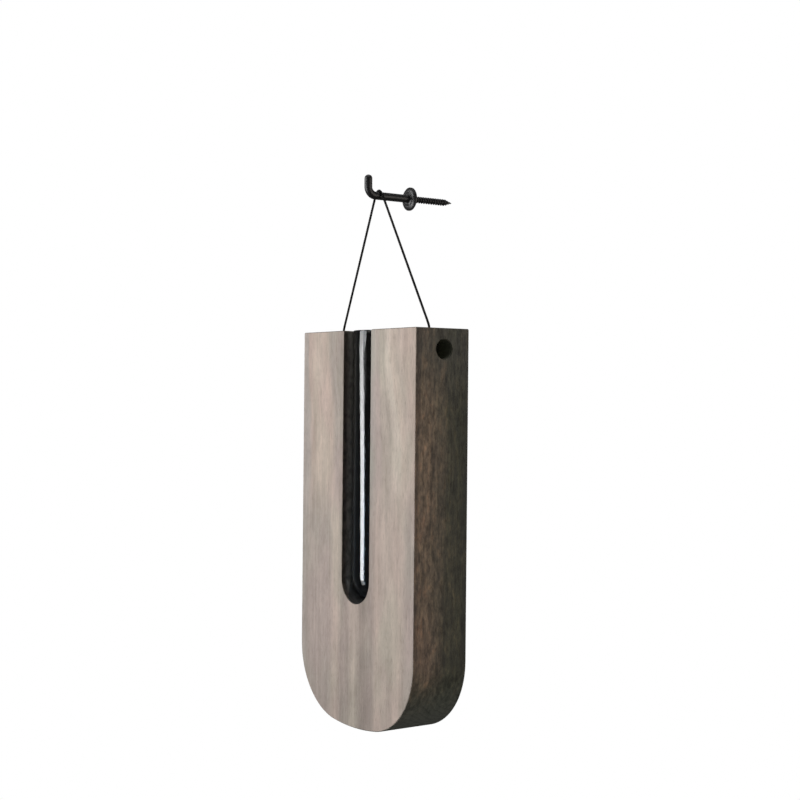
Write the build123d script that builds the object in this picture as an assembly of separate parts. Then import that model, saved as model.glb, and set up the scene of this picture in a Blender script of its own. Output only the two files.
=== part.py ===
from build123d import *
import os
from math import sqrt, atan2, cos, sin, tan, pi, radians, degrees, acos, hypot

# Hanging wall vase: a solid timber block, square at the top and arched at the bottom,
# with a bore that holds a glass tube behind a slot in its front face.  The block hangs
# from one black cord that goes over a screw hook in the wall.
#
# Frame: +X to the right seen from the room, +Y into the wall, +Z up.
# The wall is the plane y = 0.  The origin is where the hook's screw axis meets the wall.
# All lengths are in millimetres.

# ---------------------------------------------------------------- driving dimensions
block_width = 109.0
block_height = 218.0
block_depth = 35.0
corner_radius = 40.0        # the two lower corners of the arch
crown_radius = 140.0        # the shallow arc between them
edge_round = 0.7            # eased outer edges
slot_edge_round = 0.5

tube_od = 30.0
tube_length = 150.0
tube_wall = 1.5
tube_clearance = 0.5        # tube to bore, all round and under its end
tube_recess = 0.5           # tube's front line behind the front face

slot_width = 26.5
slot_bottom_height = 68.0   # above the lowest point of the block

cord_d = 1.4
cord_hole_d = 3.0
cord_hole_x = 42.0          # each side of the middle
cord_hole_from_back = 16.5
pocket_d = 10.4
pocket_drop = 11.2          # centre below the top face
pocket_depth = 16.5
knot_r = 2.5
knot_drop = 8.3             # knot centre below the top face

hook_drop = 74.5            # hook axis above the block's top face
hook_wire_d = 4.4
hook_cord_out = 21.5        # where the cord lies on the hook, out from the wall
hook_reach = 28.5           # wall to the centre of the upturned end
hook_bend_r = 4.6
hook_tip_up = 9.0
screw_d = 3.8
screw_length = 24.0
screw_point = 5.0
collar_d = 13.0
collar_t = 2.2
cord_wrap_r = 3.2           # centreline of the cord round the hook

# ---------------------------------------------------------------- derived
top_z = -hook_drop
bottom_z = top_z - block_height
front_y = -block_depth
half_w = block_width / 2
tube_r = tube_od / 2
tube_y = front_y + tube_recess + tube_r
bore_r = tube_r + tube_clearance
slot_r = slot_width / 2
tube_bottom_z = top_z - tube_length
cord_y = -cord_hole_from_back
pocket_z = top_z - pocket_drop
cord_r = cord_d / 2
wire_r = hook_wire_d / 2


# ---------------------------------------------------------------- block
def arch_profile():
    """Outline seen from the front: straight sides, two corner arcs and a crown arc."""
    z1 = crown_radius - sqrt((crown_radius - corner_radius) ** 2 - (half_w - corner_radius) ** 2)
    cx = half_w - corner_radius
    a = atan2(z1 - crown_radius, cx)               # where corner arc meets crown arc
    m = a / 2
    tl, tr = (-half_w, block_height), (half_w, block_height)
    p1 = (half_w, z1)
    p1m = (cx + corner_radius * cos(m), z1 + corner_radius * sin(m))
    p2 = (cx + corner_radius * cos(a), z1 + corner_radius * sin(a))
    low = (0.0, 0.0)
    q2, q1m, q1 = (-p2[0], p2[1]), (-p1m[0], p1m[1]), (-p1[0], p1[1])
    edges = [
        Line(tl, tr),
        Line(tr, p1),
        ThreePointArc(p1, p1m, p2),
        ThreePointArc(p2, low, q2),
        ThreePointArc(q2, q1m, q1),
        Line(q1, tl),
    ]
    return make_face(edges)


face_plane = Plane(origin=(0, front_y, bottom_z), x_dir=(1, 0, 0), z_dir=(0, -1, 0))
block = extrude(face_plane * arch_profile(), amount=-block_depth)

outer_edges = [
    e for e in block.edges()
    if abs(e.center().Y - front_y) < 0.01 or abs(e.center().Y) < 0.01
    or abs(e.center().Z - top_z) < 0.01
]
block = fillet(outer_edges, edge_round)

# bore for the tube, with a round bottom
bore_seat_z = tube_bottom_z + tube_r                   # centre of the tube's round end
bore = Pos(0, tube_y, bore_seat_z) * Cylinder(
    bore_r, tube_length + 5, align=(Align.CENTER, Align.CENTER, Align.MIN))
bore += Pos(0, tube_y, bore_seat_z) * Sphere(bore_r)

# slot through the front face, open at the top, round at the bottom
slot_low = bottom_z + slot_bottom_height + slot_r
slot_profile = make_face([
    Line((-slot_r, top_z + 5), (-slot_r, slot_low)),
    ThreePointArc((-slot_r, slot_low), (0, slot_low - slot_r), (slot_r, slot_low)),
    Line((slot_r, slot_low), (slot_r, top_z + 5)),
    Line((slot_r, top_z + 5), (-slot_r, top_z + 5)),
])
slot_plane = Plane(origin=(0, front_y - 5, 0), x_dir=(1, 0, 0), z_dir=(0, -1, 0))
slot = extrude(slot_plane * slot_profile, amount=-(5 + tube_y - front_y))
block = block - slot
block = block - bore

slot_edges = [
    e for e in block.edges()
    if abs(e.center().Y - front_y) < 0.02 and abs(e.center().X) < slot_r + 0.05
    and e.bounding_box().max.Z < top_z - 0.2 and e.bounding_box().min.Z > bottom_z + 40
]
print("slot edges eased:", len(slot_edges))
block = fillet(slot_edges, slot_edge_round)

# cord holes in the top face, each running down into a round pocket from the side
for s in (-1, 1):
    hole = Pos(s * cord_hole_x, cord_y, top_z + 2) * Cylinder(
        cord_hole_d / 2, pocket_drop + 2, align=(Align.CENTER, Align.CENTER, Align.MAX))
    pocket = Pos(s * (half_w - pocket_depth), cord_y, pocket_z) * Rot(0, s * 90, 0) * Cylinder(
        pocket_d / 2, pocket_depth + 5, align=(Align.CENTER, Align.CENTER, Align.MIN))
    block = block - hole - pocket

pocket_rims = [
    e for e in block.edges().filter_by(GeomType.CIRCLE)
    if abs(abs(e.center().X) - half_w) < 0.05 and abs(e.radius - pocket_d / 2) < 0.01
]
print("pocket rims eased:", len(pocket_rims))
block = chamfer(pocket_rims, 0.4)
vase_block = block

# ---------------------------------------------------------------- glass tube
inner_r = tube_r - tube_wall
zc = tube_bottom_z + tube_r
tz = tube_bottom_z + tube_length
tube_section = make_face([
    ThreePointArc((0, zc - tube_r), (tube_r * sin(pi / 4), zc - tube_r * cos(pi / 4)), (tube_r, zc)),
    Line((tube_r, zc), (tube_r, tz)),
    Line((tube_r, tz), (inner_r, tz)),
    Line((inner_r, tz), (inner_r, zc)),
    ThreePointArc((inner_r, zc), (inner_r * sin(pi / 4), zc - inner_r * cos(pi / 4)), (0, zc - inner_r)),
    Line((0, zc - inner_r), (0, zc - tube_r)),
])
tube = revolve(Plane.XZ * tube_section, axis=Axis.Z)
rim_edges = [e for e in tube.edges().filter_by(GeomType.CIRCLE) if abs(e.center().Z - tz) < 0.01]
tube = fillet(rim_edges, 0.6)
glass_tube = Pos(0, tube_y, 0) * tube

# ---------------------------------------------------------------- wall hook
hook_path = FilletPolyline((0, 0, 0), (0, -hook_reach, 0), (0, -hook_reach, hook_tip_up), radius=hook_bend_r)
hook_section = Plane(origin=(0, 0, 0), z_dir=(0, -1, 0)) * Circle(wire_r)
hook = sweep(hook_section, path=hook_path)
hook += Pos(0, -hook_reach, hook_tip_up) * Sphere(wire_r)
screw = Pos(0, 0, 0) * Rot(-90, 0, 0) * Cylinder(
    screw_d / 2, screw_length, align=(Align.CENTER, Align.CENTER, Align.MIN))
point = Pos(0, screw_length, 0) * Rot(-90, 0, 0) * Cone(
    screw_d / 2, 0.25, screw_point, align=(Align.CENTER, Align.CENTER, Align.MIN))
wall_hook = hook + screw + point

# ---------------------------------------------------------------- hook collar
collar_section = make_face([
    Line((wire_r, 0), (collar_d / 2, 0)),
    Line((collar_d / 2, 0), (collar_d / 2, 0.7)),
    ThreePointArc((collar_d / 2, 0.7), (collar_d / 2 - 1.0, 1.45), (collar_d / 2 - 2.6, 1.8)),
    Line((collar_d / 2 - 2.6, 1.8), (wire_r + 0.8, collar_t)),
    Line((wire_r + 0.8, collar_t), (wire_r, collar_t)),
    Line((wire_r, collar_t), (wire_r, 0)),
])
collar = revolve(Plane.XZ * collar_section, axis=Axis.Z)
hook_collar = Rot(90, 0, 0) * collar

# ---------------------------------------------------------------- cord
# Route of the whole cord, knot to knot: up through the left hole, taut to the hook,
# over it, and down to the right hole.
peg = (0.0, -hook_cord_out, 0.0)
d = hypot(cord_hole_x, hook_drop)
touch = atan2(-hook_drop, cord_hole_x) + acos(cord_wrap_r / d)      # where the strand meets the hook
turn = (pi - 2 * touch) / 2
wx = cord_wrap_r / cos(turn / 2) * cos(touch + turn / 2)
wz = cord_wrap_r / cos(turn / 2) * sin(touch + turn / 2)
mouth_l, mouth_r = (-cord_hole_x, cord_y, top_z), (cord_hole_x, cord_y, top_z)
wrap_l, wrap_r = (-wx, -hook_cord_out, wz), (wx, -hook_cord_out, wz)
knot_z = top_z - knot_drop
route = [
    (-cord_hole_x, cord_y, knot_z), mouth_l, wrap_l, wrap_r, mouth_r, (cord_hole_x, cord_y, knot_z),
]
print("cord route:", [tuple(round(c, 3) for c in p) for p in route])


def along(a, b, dist):
    v = Vector(*b) - Vector(*a)
    return Vector(*a) + v.normalized() * dist


loop_start = along(mouth_l, wrap_l, 0.45)
loop_end = along(mouth_r, wrap_r, 0.45)
wrap_fillet = 0.95 * cord_wrap_r
loop_path = FilletPolyline(loop_start, wrap_l, wrap_r, loop_end, radius=wrap_fillet)
print("cord turn at each hook point, degrees:", round(degrees(turn), 1), "radius:", round(wrap_fillet, 2))
loop_section = Plane(origin=loop_start, z_dir=loop_path % 0) * Circle(cord_r)
hanging_cord = sweep(loop_section, path=loop_path)
loop_len = loop_path.length
print("loop length:", round(loop_len, 2), "volume:", round(hanging_cord.volume, 2),
      "section x length:", round(pi * cord_r ** 2 * loop_len, 2))
print("whole cord, knot centre to knot centre:", round(loop_len + 2 * 0.45 + 2 * (top_z - knot_z), 1))


def knot(s):
    """Stopper knot under the hole, with the stretch that fills the hole and a short free end."""
    x = s * cord_hole_x
    ball = Pos(x, cord_y, knot_z) * Sphere(knot_r)
    up = Pos(x, cord_y, knot_z) * Cylinder(
        cord_r, top_z - 0.5 - knot_z, align=(Align.CENTER, Align.CENTER, Align.MIN))
    end = Pos(x, cord_y, knot_z) * Cylinder(
        cord_r, knot_r + 3.5, align=(Align.CENTER, Align.CENTER, Align.MAX))
    return ball + up + end


cord_knot_left = knot(-1)
cord_knot_right = knot(1)

# ---------------------------------------------------------------- write the pieces
nodes = {
    "vase_block": vase_block,
    "glass_tube": glass_tube,
    "wall_hook": wall_hook,
    "hook_collar": hook_collar,
    "hanging_cord": hanging_cord,
    "cord_knot_left": cord_knot_left,
    "cord_knot_right": cord_knot_right,
}
os.makedirs("parts", exist_ok=True)
for name, shape in nodes.items():
    solids = shape.solids()
    print(name, "solids", len(solids), "volume", round(sum(s.volume for s in solids), 1))
    export_step(shape, f"parts/{name}.step")
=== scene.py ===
import bpy
import bmesh
import math
from mathutils import Vector, Matrix, Quaternion, noise


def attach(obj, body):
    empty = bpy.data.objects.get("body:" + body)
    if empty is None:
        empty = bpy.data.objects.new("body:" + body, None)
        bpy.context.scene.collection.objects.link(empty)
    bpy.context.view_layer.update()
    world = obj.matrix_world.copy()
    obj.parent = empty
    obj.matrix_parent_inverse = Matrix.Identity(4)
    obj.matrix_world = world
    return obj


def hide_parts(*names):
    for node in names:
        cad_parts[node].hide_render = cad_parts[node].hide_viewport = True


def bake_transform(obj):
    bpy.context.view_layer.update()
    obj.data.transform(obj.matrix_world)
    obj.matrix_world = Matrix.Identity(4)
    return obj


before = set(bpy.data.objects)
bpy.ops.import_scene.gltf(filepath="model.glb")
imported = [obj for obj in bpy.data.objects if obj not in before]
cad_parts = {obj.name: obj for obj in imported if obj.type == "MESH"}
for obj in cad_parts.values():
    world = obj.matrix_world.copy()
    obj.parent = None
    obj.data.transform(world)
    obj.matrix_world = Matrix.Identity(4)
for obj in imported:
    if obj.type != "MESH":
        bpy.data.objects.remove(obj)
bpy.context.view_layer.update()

scene = bpy.context.scene
MM = 0.001

# ------------------------------------------------------------------ sizes, in millimetres, as in the CAD source
TOP_Z = -74.5
BOTTOM_Z = -292.5
FRONT_Y = -35.0
HALF_W = 54.5
TUBE_R, TUBE_WALL = 15.0, 1.5
TUBE_Y = -19.5
TUBE_BOTTOM = TOP_Z - 150.0
CORD_R = 0.7
HOLE_X, HOLE_Y = 42.0, -16.5
KNOT_Z = TOP_Z - 8.3
HOOK_OUT, HOOK_REACH, HOOK_BEND, HOOK_TIP, WIRE_R = 21.5, 28.5, 4.6, 9.0, 2.2


# ------------------------------------------------------------------ helpers
def link(ob):
    scene.collection.objects.link(ob)
    return ob


def mesh_object(name, verts, faces, smooth=True):
    me = bpy.data.meshes.new(name)
    me.from_pydata([tuple(v) for v in verts], [], faces)
    me.validate()
    me.update()
    bm = bmesh.new()
    bm.from_mesh(me)
    bmesh.ops.recalc_face_normals(bm, faces=bm.faces)
    bm.to_mesh(me)
    bm.free()
    if smooth:
        me.polygons.foreach_set("use_smooth", [True] * len(me.polygons))
    return link(bpy.data.objects.new(name, me))


def frames_along(points):
    """Tangents and twist-free normals at each point of a line."""
    n = len(points)
    tangents = []
    for i in range(n):
        a, b = points[max(0, i - 1)], points[min(n - 1, i + 1)]
        tangents.append((b - a).normalized())
    ref = Vector((0, 1, 0)) if abs(tangents[0].y) < 0.9 else Vector((1, 0, 0))
    u = (ref - tangents[0] * ref.dot(tangents[0])).normalized()
    normals = [u]
    for i in range(1, n):
        q = tangents[i - 1].rotation_difference(tangents[i])
        u = (q @ u)
        u = (u - tangents[i] * u.dot(tangents[i])).normalized()
        normals.append(u)
    return tangents, normals


def lengths_of(points):
    out = [0.0]
    for a, b in zip(points, points[1:]):
        out.append(out[-1] + (b - a).length)
    return out


def resample(points, step):
    run = lengths_of(points)
    n = max(2, int(round(run[-1] / step)))
    out, k = [], 0
    for i in range(n + 1):
        want = run[-1] * i / n
        while k < len(points) - 2 and run[k + 1] < want:
            k += 1
        span = run[k + 1] - run[k]
        t = 0.0 if span < 1e-12 else (want - run[k]) / span
        out.append(points[k].lerp(points[k + 1], min(1.0, max(0.0, t))))
    return out


def tube_faces(rings, sides, first=0, close_ends=True):
    faces = []
    for i in range(rings - 1):
        for j in range(sides):
            a = first + i * sides + j
            b = first + i * sides + (j + 1) % sides
            faces.append((a, b, b + sides, a + sides))
    if close_ends:
        faces.append(tuple(first + j for j in reversed(range(sides))))
        faces.append(tuple(first + (rings - 1) * sides + j for j in range(sides)))
    return faces


def sweep_line(points, radius, sides=10, first=0, ref=None):
    """Rings of vertices along a line; radius is a number or a function of (i, j)."""
    tangents, normals = frames_along(points)
    verts = []
    for i, p in enumerate(points):
        t, u = tangents[i], normals[i]
        w = t.cross(u)
        for j in range(sides):
            a = 2 * math.pi * j / sides
            r = radius(i, j) if callable(radius) else radius
            verts.append(p + (u * math.cos(a) + w * math.sin(a)) * r)
    return verts, tube_faces(len(points), sides, first)


def lathe(name, profile, centre, segments=128):
    """A closed revolved solid about Z; profile runs from axis to axis."""
    verts, faces, rows = [], [], []
    for r, z in profile:
        if r < 1e-9:
            rows.append([len(verts)])
            verts.append(Vector((centre[0], centre[1], z)) * MM)
        else:
            row = []
            for j in range(segments):
                a = 2 * math.pi * j / segments
                row.append(len(verts))
                verts.append(Vector((centre[0] + r * math.cos(a), centre[1] + r * math.sin(a), z)) * MM)
            rows.append(row)
    for a, b in zip(rows, rows[1:]):
        for j in range(segments):
            k = (j + 1) % segments
            if len(a) == 1:
                faces.append((a[0], b[j], b[k]))
            elif len(b) == 1:
                faces.append((a[j], a[k], b[0]))
            else:
                faces.append((a[j], a[k], b[k], b[j]))
    return mesh_object(name, verts, faces)


# ------------------------------------------------------------------ camera, at the photograph's view
cam_data = bpy.data.cameras.new("camera")
cam_data.sensor_width = 36.0
cam_data.lens = 68.3371
cam_data.clip_start, cam_data.clip_end = 0.01, 50.0
camera = link(bpy.data.objects.new("camera", cam_data))
right = Vector((0.583437, 0.812104, 0.009428))
up = Vector((-0.006623, -0.006850, 0.999955))
back = Vector((0.812132, -0.583473, 0.001382))
m = Matrix((
    (right.x, up.x, back.x, 0.689131),
    (right.y, up.y, back.y, -0.500850),
    (right.z, up.z, back.z, -0.111486),
    (0, 0, 0, 1),
))
camera.matrix_world = m
scene.camera = camera


# ------------------------------------------------------------------ node helpers
class Graph:
    def __init__(self, name):
        self.mat = bpy.data.materials.new(name)
        self.mat.use_nodes = True
        self.tree = self.mat.node_tree
        self.tree.nodes.clear()
        self.out = self.tree.nodes.new("ShaderNodeOutputMaterial")

    def node(self, kind, **props):
        n = self.tree.nodes.new(kind)
        for k, v in props.items():
            setattr(n, k, v)
        return n

    def link(self, a, b):
        self.tree.links.new(a, b)

    def feed(self, socket, value):
        if isinstance(value, bpy.types.NodeSocket):
            self.link(value, socket)
        elif value is not None:
            socket.default_value = value

    def math(self, op, a, b=None, c=None, clamp=False):
        n = self.node("ShaderNodeMath", operation=op, use_clamp=clamp)
        self.feed(n.inputs[0], a)
        self.feed(n.inputs[1], b)
        self.feed(n.inputs[2], c)
        return n.outputs[0]

    def vec(self, op, a, b=None, scale=None):
        n = self.node("ShaderNodeVectorMath", operation=op)
        self.feed(n.inputs[0], a)
        self.feed(n.inputs[1], b)
        if scale is not None:
            self.feed(n.inputs["Scale"], scale)
        return n.outputs["Value"] if op in ("LENGTH", "DOT_PRODUCT", "DISTANCE") else n.outputs["Vector"]

    def noise(self, vector, scale=1.0, detail=2.0, rough=0.5, distortion=0.0, out="Fac"):
        n = self.node("ShaderNodeTexNoise")
        n.noise_dimensions = "3D"
        self.feed(n.inputs["Vector"], vector)
        n.inputs["Scale"].default_value = scale
        n.inputs["Detail"].default_value = detail
        n.inputs["Roughness"].default_value = rough
        n.inputs["Distortion"].default_value = distortion
        return n.outputs[0] if out == "Fac" else n.outputs[1]

    def remap(self, value, a, b, c=0.0, d=1.0, smooth=False):
        n = self.node("ShaderNodeMapRange")
        n.interpolation_type = "SMOOTHSTEP" if smooth else "LINEAR"
        n.clamp = True
        self.feed(n.inputs["Value"], value)
        for key, v in (("From Min", a), ("From Max", b), ("To Min", c), ("To Max", d)):
            n.inputs[key].default_value = v
        return n.outputs["Result"]

    def ramp(self, fac, stops, mode="LINEAR"):
        n = self.node("ShaderNodeValToRGB")
        n.color_ramp.interpolation = mode
        els = n.color_ramp.elements
        while len(els) > 1:
            els.remove(els[-1])
        els[0].position = stops[0][0]
        els[0].color = (*stops[0][1], 1)
        for pos, col in stops[1:]:
            e = els.new(pos)
            e.color = (*col, 1)
        self.feed(n.inputs["Fac"], fac)
        return n.outputs["Color"]

    def mix(self, fac, a, b, mode="MIX"):
        n = self.node("ShaderNodeMix", data_type="RGBA", blend_type=mode)
        n.clamp_factor = True
        self.feed(n.inputs[0], fac)
        for sock, v in ((n.inputs[6], a), (n.inputs[7], b)):
            if isinstance(v, tuple):
                sock.default_value = (*v, 1) if len(v) == 3 else v
            else:
                self.feed(sock, v)
        return n.outputs[2]

    def combine(self, x, y, z):
        n = self.node("ShaderNodeCombineXYZ")
        for s, v in zip(n.inputs, (x, y, z)):
            self.feed(s, v)
        return n.outputs[0]

    def bump(self, height, strength=0.5, distance=0.0002, normal=None):
        n = self.node("ShaderNodeBump")
        n.inputs["Strength"].default_value = strength
        n.inputs["Distance"].default_value = distance
        self.feed(n.inputs["Height"], height)
        if normal is not None:
            self.feed(n.inputs["Normal"], normal)
        return n.outputs["Normal"]

    def position_mm(self):
        tc = self.node("ShaderNodeTexCoord")
        return self.vec("SCALE", tc.outputs["Object"], scale=1000.0)

    def split(self, v):
        n = self.node("ShaderNodeSeparateXYZ")
        self.feed(n.inputs[0], v)
        return n.outputs[0], n.outputs[1], n.outputs[2]

    def principled(self, **values):
        n = self.node("ShaderNodeBsdfPrincipled")
        for k, v in values.items():
            s = n.inputs[k.replace("_", " ")]
            if isinstance(v, tuple) and len(v) == 3 and s.type == "RGBA":
                v = (*v, 1)
            self.feed(s, v)
        self.link(n.outputs[0], self.out.inputs["Surface"])
        return n


# ------------------------------------------------------------------ stained timber
# the stains of one grey-brown timber, dark to light; the front shows them as soft upright bands
DEEP = (0.306, 0.258, 0.224)
TAUPE = (0.354, 0.298, 0.264)
DUSK = (0.388, 0.328, 0.294)
ASH = (0.386, 0.346, 0.314)
MAUVE = (0.412, 0.346, 0.312)
KHAKI = (0.430, 0.376, 0.322)
SAND = (0.462, 0.392, 0.338)
ROSY = (0.478, 0.385, 0.330)
WARM = (0.488, 0.404, 0.350)
BLUSH = (0.530, 0.431, 0.372)
PALE = (0.580, 0.502, 0.434)


def timber():
    g = Graph("timber_grey_brown")
    tc = g.node("ShaderNodeTexCoord")
    p = g.vec("SCALE", tc.outputs["Object"], scale=1000.0)
    x, y, z = g.split(p)
    nx, ny, nz = g.split(tc.outputs["Normal"])
    nx, ny, nz = (g.math("ABSOLUTE", v) for v in (nx, ny, nz))
    py, pz = g.math("ADD", y, 16.5), g.math("ADD", z, 85.7)
    prad = g.math("SQRT", g.math("ADD", g.math("MULTIPLY", py, py), g.math("MULTIPLY", pz, pz)))
    at_pocket = g.math("MULTIPLY", g.remap(prad, 6.6, 7.2, 1.0, 0.0, smooth=True), g.math("GREATER_THAN", g.math("ABSOLUTE", x), 36.0))
    rim = g.math("MAXIMUM", g.remap(ny, 0.30, 0.80, 1.0, 0.0, smooth=True), at_pocket)
    end_grain = g.remap(nz, 0.20, 0.90, smooth=True)
    upright = g.remap(nx, 0.35, 0.75, smooth=True)

    def times(colour, factor, strength=1.0):
        """Darkens or lightens a colour by a fixed tint, as far as strength says."""
        return g.mix(strength, colour, g.mix(1.0, colour, factor, "MULTIPLY"))

    # quarter-sawn bands across the width: they wander slowly along the grain, and lean inwards at the upper right
    slow = g.noise(g.vec("MULTIPLY", p, (0.030, 0.030, 0.0065)), detail=1.5, out="Color")
    drift = g.vec("SCALE", g.vec("SUBTRACT", slow, (0.5, 0.5, 0.5)), scale=5.0)
    near = g.noise(g.vec("MULTIPLY", p, (0.16, 0.16, 0.035)), detail=2.5, out="Color")
    ripple = g.vec("SCALE", g.vec("SUBTRACT", near, (0.5, 0.5, 0.5)), scale=2.8)
    q = g.vec("ADD", p, g.vec("ADD", drift, ripple))
    lean_r = g.math("MULTIPLY", g.remap(z, -138.0, -84.0, 0.0, 11.0, smooth=True), g.remap(x, 15.0, 30.0, smooth=True))
    lean_l = g.math("MULTIPLY", g.remap(z, -125.0, -84.0, 0.0, 6.0, smooth=True), g.remap(x, -16.0, -10.0, 1.0, 0.0, smooth=True))
    lean = g.math("ADD", lean_r, g.math("MULTIPLY", lean_l, g.remap(x, -54.0, -45.0, smooth=True)))
    tilt = g.math("MULTIPLY", g.math("ADD", y, 35.0), 0.32)
    q = g.vec("ADD", q, g.combine(g.math("ADD", lean, tilt), None, None))
    qx, qy, qz = g.split(q)

    def banded(bands):
        return g.ramp(g.remap(qx, -60.0, 60.0), [((mm + 60.0) / 120.0, c) for mm, c in bands], mode="EASE")

    upper = banded((
        (-55, ASH), (-49, ASH), (-44, ROSY), (-33, BLUSH), (-25, ROSY), (-19, MAUVE), (-15, TAUPE),
        (0, DEEP), (14, ASH), (21, MAUVE), (27, KHAKI), (33, KHAKI), (39, PALE), (44, BLUSH), (49, WARM), (57, ROSY),
    ))
    lower = banded((
        (-55, ASH), (-47, DUSK), (-33, DUSK), (-27, MAUVE), (-19, WARM), (-12, TAUPE), (-8, TAUPE),
        (-1, SAND), (7, DEEP), (15, TAUPE), (21, WARM), (29, SAND), (41, WARM), (51, MAUVE),
    ))
    face = g.mix(g.remap(z, -188.0, -148.0, smooth=True), lower, upper)
    depth = g.remap(g.math("ADD", y, g.math("MULTIPLY", g.math("SUBTRACT", qy, y), 1.6)), -36.0, 0.0)
    edge = g.ramp(depth, [
        (0.00, (0.252, 0.178, 0.128)),
        (0.25, (0.300, 0.213, 0.152)),
        (0.45, (0.200, 0.160, 0.113)),
        (0.62, (0.086, 0.083, 0.052)),
        (0.84, (0.066, 0.068, 0.040)),
        (0.92, (0.036, 0.038, 0.026)),
    ], mode="EASE")
    edge = g.mix(g.remap(z, -124.0, -79.0, 0.0, 0.78, smooth=True), edge, (0.098, 0.096, 0.080))
    # painted light: the lower curve of the sides, more on the right, is painted a lighter, greener tone to stand in for
    # light it loses as it turns down
    painted_light_right = g.remap(x, -20.0, 20.0, 0.30, 1.0, smooth=True)
    edge = g.mix(g.math("MULTIPLY", g.remap(z, -276.0, -248.0, 0.85, 0.0, smooth=True), painted_light_right), edge, (0.155, 0.168, 0.138))
    base = g.mix(rim, face, edge)

    # painted shade: darker towards the foot and more so on the lower curve, where less light falls; and slow warm and
    # green casts
    painted_foot_shade = g.remap(z, -285.0, -90.0, 0.92, 1.04)
    painted_foot_shade = g.math("MULTIPLY", painted_foot_shade, g.remap(z, -283.0, -240.0, 0.91, 1.0, smooth=True))
    base = g.mix(1.0, base, g.combine(painted_foot_shade, painted_foot_shade, painted_foot_shade), "MULTIPLY")
    hue = g.noise(g.vec("ADD", g.vec("MULTIPLY", p, (0.050, 0.050, 0.020)), (7.3, 1.9, 4.2)), detail=2.0)
    base = g.mix(1.0, base, g.mix(g.remap(hue, 0.36, 0.62, smooth=True), (0.972, 1.004, 0.974), (1.022, 0.992, 0.996)), "MULTIPLY")

    # streaks of early and late wood, fibres, cloudy stain, specks, open pores, ray flecks
    streak = g.noise(g.vec("MULTIPLY", q, (0.42, 0.36, 0.010)), detail=3.0, rough=0.60)
    thin = g.noise(g.vec("MULTIPLY", q, (1.25, 1.0, 0.012)), detail=2.0, rough=0.5)
    fibre = g.noise(g.vec("MULTIPLY", q, (2.3, 1.9, 0.060)), detail=4.0, rough=0.62)
    cloud = g.noise(g.vec("MULTIPLY", p, (0.15, 0.15, 0.045)), detail=5.0, rough=0.62)
    blotch = g.noise(g.vec("MULTIPLY", p, (0.28, 0.28, 0.105)), detail=4.0, rough=0.66)
    speck = g.noise(g.vec("MULTIPLY", p, (0.85, 0.85, 0.34)), detail=3.0, rough=0.60)
    pores = g.remap(g.noise(g.vec("MULTIPLY", p, (3.0, 3.0, 0.17)), detail=2.0, rough=0.5), 0.60, 0.71, smooth=True)
    ray = g.noise(g.vec("MULTIPLY", p, (0.9, 0.06, 0.9)), detail=2.0)

    base = times(base, (1.11, 1.108, 1.105), g.remap(streak, 0.36, 0.64))
    base = times(base, (0.76, 0.74, 0.72), g.math("MULTIPLY", g.remap(thin, 0.50, 0.70), 0.36))
    base = times(base, (0.60, 0.58, 0.56), g.math("MULTIPLY", g.remap(fibre, 0.40, 0.74), 0.26))
    base = times(base, (1.13, 1.125, 1.12), g.remap(cloud, 0.46, 0.66, smooth=True))
    base = times(base, (0.90, 0.895, 0.885), g.remap(cloud, 0.50, 0.32, smooth=True))
    base = times(base, (0.50, 0.50, 0.47), g.math("MULTIPLY", g.remap(blotch, 0.47, 0.66, smooth=True), g.math("ADD", 0.14, g.math("MULTIPLY", rim, 0.76))))
    base = times(base, (1.45, 1.28, 1.18), g.math("MULTIPLY", g.remap(blotch, 0.46, 0.34, smooth=True), g.math("MULTIPLY", rim, 0.85)))
    base = times(base, (0.55, 0.50, 0.46), g.math("MULTIPLY", g.remap(speck, 0.52, 0.70), g.math("ADD", 0.22, g.math("MULTIPLY", rim, 0.62))))
    mottle = g.noise(g.vec("ADD", g.vec("MULTIPLY", p, (0.50, 0.50, 0.26)), (3.1, 8.7, 5.3)), detail=3.0, rough=0.55)
    base = times(base, (0.58, 0.59, 0.60), g.math("MULTIPLY", g.remap(mottle, 0.50, 0.66), g.math("MULTIPLY", rim, 0.70)))
    base = times(base, (1.34, 1.31, 1.26), g.math("MULTIPLY", g.remap(mottle, 0.48, 0.34), g.math("MULTIPLY", rim, 0.80)))
    stripe = g.noise(g.vec("ADD", g.vec("MULTIPLY", p, (0.62, 0.62, 0.070)), (1.7, 6.1, 2.9)), detail=3.0, rough=0.60)
    base = times(base, (0.60, 0.62, 0.60), g.math("MULTIPLY", g.remap(stripe, 0.50, 0.66), g.math("MULTIPLY", rim, 0.70)))
    base = times(base, (1.34, 1.32, 1.26), g.math("MULTIPLY", g.remap(stripe, 0.50, 0.36), g.math("MULTIPLY", rim, 0.80)))
    base = times(base, (1.22, 1.21, 1.18), g.math("MULTIPLY", g.remap(ray, 0.56, 0.72), 0.18))
    base = g.mix(g.math("MULTIPLY", pores, 0.36), base, (0.100, 0.076, 0.062))
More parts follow.
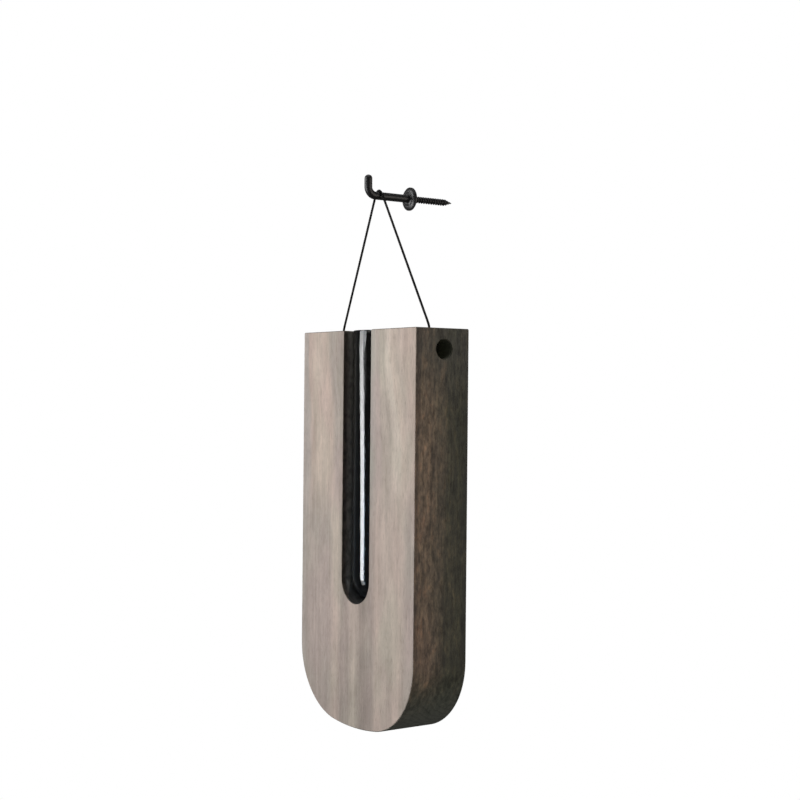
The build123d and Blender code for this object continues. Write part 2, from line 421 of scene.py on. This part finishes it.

    # end grain takes the stain darker, with ring lines, rays and vessel dots; a painted shade line runs just behind the
    # front edge of the upright faces, deeper near the top
    turn = g.math("ADD", g.math("MULTIPLY", g.math("ADD", x, g.math("MULTIPLY", y, 0.32)), 0.40),
                  g.math("MULTIPLY", g.noise(g.vec("MULTIPLY", p, (0.07, 0.05, 0.01)), detail=2.0), 3.2))
    ring = g.remap(g.math("FRACT", turn), 0.55, 0.97, smooth=True)
    rays = g.remap(g.noise(g.vec("MULTIPLY", p, (0.10, 2.4, 0.10)), detail=2.0), 0.54, 0.70)
    dots = g.remap(g.noise(g.vec("MULTIPLY", p, (2.5, 2.5, 0.25)), detail=1.0), 0.60, 0.68, smooth=True)
    end = g.mix(g.math("MULTIPLY", ring, 0.62), (0.098, 0.084, 0.066), (0.050, 0.042, 0.034))
    end = g.mix(g.math("MULTIPLY", rays, 0.22), end, (0.150, 0.128, 0.100))
    end = g.mix(g.math("MULTIPLY", dots, 0.70), end, (0.022, 0.018, 0.015))
    end = times(end, (0.62, 0.64, 0.62), g.math("MULTIPLY", g.remap(blotch, 0.46, 0.64, smooth=True), 0.55))
    # painted light: the end grain of the lower curve, more on the right, is painted lighter to stand in for light it
    # loses as it turns down
    end = times(end, (1.78, 2.25, 2.50), g.math("MULTIPLY", g.remap(z, -262.0, -250.0, 1.0, 0.0, smooth=True), painted_light_right))
    base = g.mix(g.math("MULTIPLY", end_grain, 0.88), base, end)
    # painted shade: a thin dark line on the upright faces just behind the front edge
    behind = g.math("MULTIPLY", g.remap(y, -34.6, -34.0, smooth=True), g.remap(y, -33.2, -31.0, 1.0, 0.0, smooth=True))
    painted_shade_line = g.math("MULTIPLY", g.math("MULTIPLY", behind, upright), g.remap(z, -150.0, -90.0, 0.22, 0.48, smooth=True))
    base = g.mix(painted_shade_line, base, (0.060, 0.034, 0.026))
    # the bore is painted near-black as painted shade; the slot's walls and the side pockets are painted lighter as
    # painted light, the slot's walls with a painted shade line at their front edge
    by = g.math("ADD", y, 19.5)
    rad = g.math("SQRT", g.math("ADD", g.math("MULTIPLY", x, x), g.math("MULTIPLY", by, by)))
    bore_shade = g.math("MULTIPLY", g.remap(rad, 15.9, 16.6, 1.0, 0.0, smooth=True), g.math("GREATER_THAN", z, -227.0))
    bore_shade = g.math("MULTIPLY", bore_shade, rim)
    # painted light: the slot's walls are painted lighter than the front, more so lower down, to stand in for light
    # their recess loses; a painted shade line runs along their front edge
    lips = g.math("MULTIPLY", g.math("LESS_THAN", g.math("ABSOLUTE", x), 13.7), g.math("LESS_THAN", y, -26.5))
    lips = g.math("MULTIPLY", g.math("MULTIPLY", lips, g.math("GREATER_THAN", z, -226.0)), rim)
    lip = g.mix(g.remap(z, -215.0, -100.0, smooth=True), (0.600, 0.590, 0.560), (0.480, 0.462, 0.420))
    lip = times(lip, (0.30, 0.25, 0.22), g.remap(y, -33.6, -30.0, 1.0, 0.0, smooth=True))
    lip = times(lip, (0.62, 0.62, 0.62), g.remap(mottle, 0.46, 0.62))
    base = g.mix(g.math("MULTIPLY", lips, 0.88), base, lip)
    # painted shade: the bore's wall is painted near-black
    base = g.mix(g.math("MULTIPLY", bore_shade, 0.85), base, (0.050, 0.051, 0.052))
    # painted light: the side pockets' walls are painted lighter than the side around them, standing in for light the
    # holes lose
    bored = g.math("MAXIMUM", g.remap(g.math("ABSOLUTE", x), 53.6, 50.5, smooth=True), g.math("SUBTRACT", 1.0, upright))
    pocket = g.math("MULTIPLY", g.remap(prad, 5.4, 5.8, 1.0, 0.0, smooth=True), bored)
    base = g.mix(g.math("MULTIPLY", pocket, 0.88), base, (0.236, 0.248, 0.192))

    height = g.math("SUBTRACT", g.math("MULTIPLY", fibre, 0.5), g.math("MULTIPLY", pores, 0.9))
    height = g.math("ADD", height, g.math("MULTIPLY", thin, -0.25))
    height = g.math("ADD", height, g.math("MULTIPLY", speck, g.math("ADD", 0.25, g.math("MULTIPLY", rim, 0.5))))
    rough = g.math("ADD", g.math("MULTIPLY", fibre, 0.16), g.math("ADD", g.math("MULTIPLY", pores, 0.12), 0.50))
    g.principled(Base_Color=base, Roughness=rough, Normal=g.bump(height, 0.55, 0.00016))
    return g.mat


# ------------------------------------------------------------------ smoke-tinted glass
def glass():
    g = Graph("smoke_glass")
    p = g.position_mm()
    ripple = g.noise(g.vec("MULTIPLY", p, (0.10, 0.10, 0.02)), detail=1.0)
    x, y, z = g.split(p)
    tint = g.mix(g.remap(z, -205.0, -95.0, smooth=True), (0.36, 0.45, 0.54), (0.47, 0.485, 0.495))
    tint = g.mix(1.0, tint, g.mix(ripple, (0.94, 0.95, 0.96), (1.04, 1.03, 1.03)), "MULTIPLY")
    rough = g.math("ADD", g.math("MULTIPLY", g.noise(p, scale=0.35, detail=2.0), 0.02), 0.004)
    n = g.principled(Base_Color=tint, Roughness=rough, IOR=1.52, Transmission_Weight=1.0,
                     Normal=g.bump(ripple, 0.02, 0.00005))
    return g.mat


def cord_black():
    g = Graph("waxed_cord_black")
    p = g.position_mm()
    f = g.noise(p, scale=6.0, detail=3.0, rough=0.6)
    col = g.ramp(f, [(0.3, (0.004, 0.004, 0.0045)), (0.7, (0.013, 0.0125, 0.0125))])
    n = g.principled(Base_Color=col, Roughness=g.remap(f, 0.3, 0.7, 0.52, 0.72), Normal=g.bump(f, 0.5, 0.00006))
    n.inputs["Specular IOR Level"].default_value = 0.22
    return g.mat


def hook_black():
    g = Graph("hook_black_satin")
    p = g.position_mm()
    f = g.noise(p, scale=1.6, detail=4.0, rough=0.6)
    fine = g.noise(p, scale=9.0, detail=2.0)
    col = g.ramp(f, [(0.35, (0.012, 0.012, 0.013)), (0.65, (0.024, 0.024, 0.025))])
    g.principled(Base_Color=col, Metallic=0.0, Roughness=g.remap(f, 0.3, 0.7, 0.30, 0.42),
                 Normal=g.bump(fine, 0.35, 0.00005))
    return g.mat


TIMBER, GLASS, CORD, HOOK = timber(), glass(), cord_black(), hook_black()


def paint(ob, mat):
    ob.data.materials.clear()
    ob.data.materials.append(mat)


# ------------------------------------------------------------------ block
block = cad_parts["vase_block"]
paint(block, TIMBER)

# ------------------------------------------------------------------ glass tube
inner = TUBE_R - TUBE_WALL
zc, zt = TUBE_BOTTOM + TUBE_R, TOP_Z
profile = []
for i in range(33):
    a = math.pi / 2 * i / 32
    profile.append((TUBE_R * math.sin(a), zc - TUBE_R * math.cos(a)))
for i in range(1, 12):
    profile.append((TUBE_R, zc + (zt - 0.75 - zc) * i / 12))
for i in range(13):
    a = math.pi * i / 12
    profile.append((TUBE_R - 0.75 + 0.75 * math.cos(a), zt - 0.75 + 0.75 * math.sin(a)))
for i in range(1, 12):
    profile.append((inner, zt - 0.75 + (zc - zt + 0.75) * i / 12))
for i in range(33):
    a = math.pi / 2 * (1 - i / 32)
    profile.append((inner * math.sin(a), zc - inner * math.cos(a)))
tube = lathe("glass_tube_clear", profile, (0, TUBE_Y), 144)
paint(tube, GLASS)
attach(tube, "tube")
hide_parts("glass_tube")

# ------------------------------------------------------------------ hook: threaded end, shank and upturned tip
line, kinds = [], []
n_screw = 300
for i in range(n_screw + 1):
    s = 29.0 - 29.0 * i / n_screw
    line.append(Vector((0, s, 0)) * MM)
    kinds.append(("screw", s))
for i in range(1, 30):
    s = (HOOK_REACH - HOOK_BEND) * i / 29
    line.append(Vector((0, -s, 0)) * MM)
    kinds.append(("wire", s))
for i in range(1, 25):
    a = math.pi / 2 * i / 24
    line.append(Vector((0, -(HOOK_REACH - HOOK_BEND) - HOOK_BEND * math.sin(a), HOOK_BEND - HOOK_BEND * math.cos(a))) * MM)
    kinds.append(("wire", 0))
for i in range(1, 11):
    line.append(Vector((0, -HOOK_REACH, HOOK_BEND + (HOOK_TIP - HOOK_BEND) * i / 10)) * MM)
    kinds.append(("wire", 0))
for i in range(1, 13):
    a = math.pi / 2 * i / 12
    line.append(Vector((0, -HOOK_REACH, HOOK_TIP + WIRE_R * math.sin(a) * 0.998)) * MM)
    kinds.append(("cap", math.cos(a)))
SIDES = 48


def hook_radius(i, j):
    kind, s = kinds[i]
    if kind == "wire":
        return WIRE_R * MM
    if kind == "cap":
        return max(0.02, WIRE_R * s) * MM
    crest = 1.9 if s < 24 else 0.25 + (1.9 - 0.25) * (29 - s) / 5
    root = crest * (0.70 if s < 24 else 0.75)
    if s < 1.0:
        return 1.9 * MM
    phase = (s / 1.7 + j / SIDES) % 1.0
    tooth = max(0.0, 1 - abs(phase - 0.5) / 0.30)
    fade = min(1.0, (s - 1.0) / 2.0)
    r = root + (crest - root) * min(1.0, tooth * 1.15)
    return (1.9 + (r - 1.9) * fade if s < 24 else r) * MM


verts, faces = sweep_line(line, hook_radius, SIDES)
hook = mesh_object("wall_hook_threaded", verts, faces)
paint(hook, HOOK)
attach(hook, "wall_side")
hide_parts("wall_hook")
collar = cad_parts["hook_collar"]
paint(collar, HOOK)

# ------------------------------------------------------------------ cord: the route's points, with points near the hook and holes where it is straight
mouth_l, mouth_r = Vector((-HOLE_X, HOLE_Y, TOP_Z)), Vector((HOLE_X, HOLE_Y, TOP_Z))
wrap_l, wrap_r = Vector((-2.05, -HOOK_OUT, 2.90)), Vector((2.05, -HOOK_OUT, 2.90))


def toward(a, b, d):
    return a + (b - a).normalized() * d


route = [
    Vector((-HOLE_X, HOLE_Y, KNOT_Z)), mouth_l,
    toward(mouth_l, wrap_l, 8.3), toward(wrap_l, mouth_l, 8.4),
    wrap_l, wrap_r,
    toward(wrap_r, mouth_r, 8.4), toward(mouth_r, wrap_r, 8.3),
    mouth_r, Vector((HOLE_X, HOLE_Y, KNOT_Z)),
]
cd = bpy.data.curves.new("cord_line", "CURVE")
cd.dimensions = "3D"
sp = cd.splines.new("NURBS")
sp.points.add(len(route) - 1)
for pt, v in zip(sp.points, route):
    pt.co = (*(v * MM), 1.0)
sp.order_u = 3
sp.use_endpoint_u = True
cd.resolution_u = 24
line_ob = link(bpy.data.objects.new("cord_line", cd))
bpy.context.view_layer.update()
me = bpy.data.meshes.new_from_object(line_ob.evaluated_get(bpy.context.evaluated_depsgraph_get()))
centre_line = [v.co.copy() for v in me.vertices]
bpy.data.meshes.remove(me)
bpy.data.objects.remove(line_ob)


def braid(points, first=0, pitch=0.0056):
    """Eight strands plaited one over, one under round a core; every strand is a tube of its own."""
    tangents, normals = frames_along(points)
    run = lengths_of(points)
    verts, faces = sweep_line(points[::3] + ([points[-1]] if (len(points) - 1) % 3 else []), 0.00052, 12, first=first)
    for c in range(8):
        way = 1 if c % 2 == 0 else -1
        start = math.pi / 2 * (c // 2) + (math.pi / 4 if way < 0 else 0.0)
        strand = []
        for i, p in enumerate(points):
            t = 2 * math.pi * run[i] / pitch
            a = way * t + start
            r = 0.00044 + 0.00005 * way * math.sin(4 * t)
            u = normals[i]
            w = tangents[i].cross(u)
            strand.append(p + (u * math.cos(a) + w * math.sin(a)) * r)
        v, f = sweep_line(strand, 0.00021, 6, first=first + len(verts))
        verts += v
        faces += f
    return verts, faces


verts, faces = braid(resample(centre_line, 0.00022))
run = lengths_of(centre_line)
cord = mesh_object("cord_braided", verts, faces)
paint(cord, CORD)
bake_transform(cord)
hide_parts("hanging_cord")


def overhand(name, s):
    """A tightened overhand knot under the hole, with a short free end."""
    centre = Vector((s * HOLE_X, HOLE_Y, KNOT_Z))
    n = 220
    loop = []
    for i in range(n + 1):
        t = 2 * math.pi * i / n
        loop.append(centre + Vector((
            (math.sin(t) + 2 * math.sin(2 * t)) * 0.62,
            -math.sin(3 * t) * 0.74,
            -(math.cos(t) - 2 * math.cos(2 * t)) * 0.62,
        )))
    v, f = braid(resample([q * MM for q in loop], 0.00018), pitch=0.0048)
    tail = [centre + Vector(q) for q in ((0, 0.2, -0.6), (0.05 * s, 0.3, -1.8), (0.22 * s, 0.35, -3.0), (0.55 * s, 0.2, -4.3), (0.95 * s, 0.0, -5.4))]
    w, h = braid(resample([q * MM for q in tail], 0.00018), first=len(v), pitch=0.0048)
    return mesh_object(name, v + w, f + h)


for side, s in (("left", -1), ("right", 1)):
    k = overhand(f"knot_{side}", s)
    paint(k, CORD)
    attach(k, "vase")
    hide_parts(f"cord_knot_{side}")
print("cord centreline", round(run[-1], 4), "m")

# ------------------------------------------------------------------ floor and light
FLOOR_Z = -1.20
bm = bmesh.new()
bmesh.ops.create_circle(bm, cap_ends=True, radius=3.0, segments=96)
floor_me = bpy.data.meshes.new("floor")
bm.to_mesh(floor_me)
bm.free()
floor = link(bpy.data.objects.new("floor", floor_me))
floor.location = (0, 0, FLOOR_Z)
g = Graph("floor_pale")
tc = g.node("ShaderNodeTexCoord")
dist = g.vec("LENGTH", tc.outputs["Object"])
fade = g.remap(dist, 0.5, 2.8, smooth=True)
lp = g.node("ShaderNodeLightPath")
# what the eye sees of it, straight or through the glass
bounced = g.math("ADD", lp.outputs["Diffuse Depth"], lp.outputs["Glossy Depth"])
direct = g.math("MULTIPLY", lp.outputs["Is Transmission Ray"], g.math("LESS_THAN", bounced, 0.5))
direct = g.math("MAXIMUM", direct, lp.outputs["Is Camera Ray"])
glow = g.node("ShaderNodeEmission")
glow.inputs["Color"].default_value = (1, 1, 1, 1)
glow.inputs["Strength"].default_value = 0.955
matt = g.node("ShaderNodeBsdfDiffuse")
matt.inputs["Color"].default_value = (0.03, 0.03, 0.03, 1)
both = g.node("ShaderNodeAddShader")
g.link(glow.outputs[0], both.inputs[0])
g.link(matt.outputs[0], both.inputs[1])
seen = g.node("ShaderNodeMixShader")
dim = g.node("ShaderNodeBsdfDiffuse")
dim.inputs["Color"].default_value = (0.10, 0.10, 0.10, 1)
g.link(direct, seen.inputs[0])
g.link(dim.outputs[0], seen.inputs[1])
g.link(both.outputs[0], seen.inputs[2])
clear = g.node("ShaderNodeBsdfTransparent")
rim = g.node("ShaderNodeMixShader")
g.link(fade, rim.inputs[0])
g.link(seen.outputs[0], rim.inputs[1])
g.link(clear.outputs[0], rim.inputs[2])
g.link(rim.outputs[0], g.out.inputs["Surface"])
paint(floor, g.mat)

world = bpy.data.worlds.new("studio")
scene.world = world
world.use_nodes = True
wt = world.node_tree
wt.nodes.clear()
w_out = wt.nodes.new("ShaderNodeOutputWorld")
w_mix = wt.nodes.new("ShaderNodeMixShader")
w_lp = wt.nodes.new("ShaderNodeLightPath")
w_see = wt.nodes.new("ShaderNodeBackground")
w_see.inputs["Color"].default_value = (1, 1, 1, 1)
w_see.inputs["Strength"].default_value = 1.0
w_amb = wt.nodes.new("ShaderNodeBackground")
w_amb.inputs["Color"].default_value = (1.0, 0.99, 0.97, 1)
w_amb.inputs["Strength"].default_value = 0.065
w_bounced, w_first, w_glass, w_both = (wt.nodes.new("ShaderNodeMath") for _ in range(4))
w_bounced.operation, w_first.operation, w_glass.operation, w_both.operation = "ADD", "LESS_THAN", "MULTIPLY", "MAXIMUM"
w_first.inputs[1].default_value = 0.5
wt.links.new(w_lp.outputs["Diffuse Depth"], w_bounced.inputs[0])
wt.links.new(w_lp.outputs["Glossy Depth"], w_bounced.inputs[1])
wt.links.new(w_bounced.outputs[0], w_first.inputs[0])
wt.links.new(w_first.outputs[0], w_glass.inputs[0])
wt.links.new(w_lp.outputs["Is Transmission Ray"], w_glass.inputs[1])
wt.links.new(w_glass.outputs[0], w_both.inputs[0])
wt.links.new(w_lp.outputs["Is Camera Ray"], w_both.inputs[1])
wt.links.new(w_both.outputs[0], w_mix.inputs[0])
wt.links.new(w_amb.outputs[0], w_mix.inputs[1])
wt.links.new(w_see.outputs[0], w_mix.inputs[2])
wt.links.new(w_mix.outputs[0], w_out.inputs["Surface"])


def area(name, azimuth, distance, height, width, tall, power, aim=(0, 0, -0.18), colour=(1, 1, 1)):
    d = bpy.data.lights.new(name, "AREA")
    d.shape = "RECTANGLE"
    d.size, d.size_y = width, tall
    d.energy = power
    d.color = colour
    ob = link(bpy.data.objects.new(name, d))
    a = math.radians(azimuth)
    ob.location = Vector((math.sin(a) * distance, -math.cos(a) * distance, height))
    look = Vector(aim) - ob.location
    look.z = 0
    ob.rotation_mode = "QUATERNION"
    ob.rotation_quaternion = look.to_track_quat("-Z", "Y")
    return ob


# radiance of a one-sided area light: power / (pi * width * tall)
def soft(name, azimuth, distance, low, high, width, radiance, colour=(1, 1, 1)):
    tall = high - low
    ob = area(name, azimuth, distance, (low + high) / 2, width, tall, radiance * math.pi * width * tall, colour=colour)
    ob.visible_camera = False
    return ob


# the key is one tall softbox that leans and dims towards its top, as its streak in the tube does
soft("key_tail", -18.5, 1.5, -1.16, -0.66, 0.45, 3.2)
soft("key_foot", -18.5, 1.5, -0.66, -0.40, 0.45, 12.8)
for n in range(12):
    t = n / 11
    soft(f"key_{n}", -18.5 - 13.0 * t * t, 1.5, -0.40 + 0.03 * n, -0.37 + 0.03 * n, 0.45 + 0.12 * t, 12.8 - 5.6 * t * t)
soft("key_head", -32.5, 1.5, -0.04, 0.90, 0.57, 6.5)
soft("key_side", -13.0, 1.5, -0.12, 0.70, 0.26, 0.45)
fill = soft("fill", 115, 1.6, -0.75, 0.45, 1.0, 1.83, colour=(1.0, 0.93, 0.86))
fill.visible_transmission = False
soft("back", 205, 1.6, -0.85, 0.55, 1.2, 2.2, colour=(1.0, 0.95, 0.89))
over = area("over", 0, 0.0, 1.2, 1.2, 1.2, 1.6 * math.pi * 1.44)
over.rotation_quaternion = Quaternion((1, 0, 0, 0))
over.visible_camera = False

scene.view_settings.view_transform = "Standard"
scene.view_settings.look = "None"
scene.view_settings.exposure = 0.0
scene.view_settings.gamma = 1.0
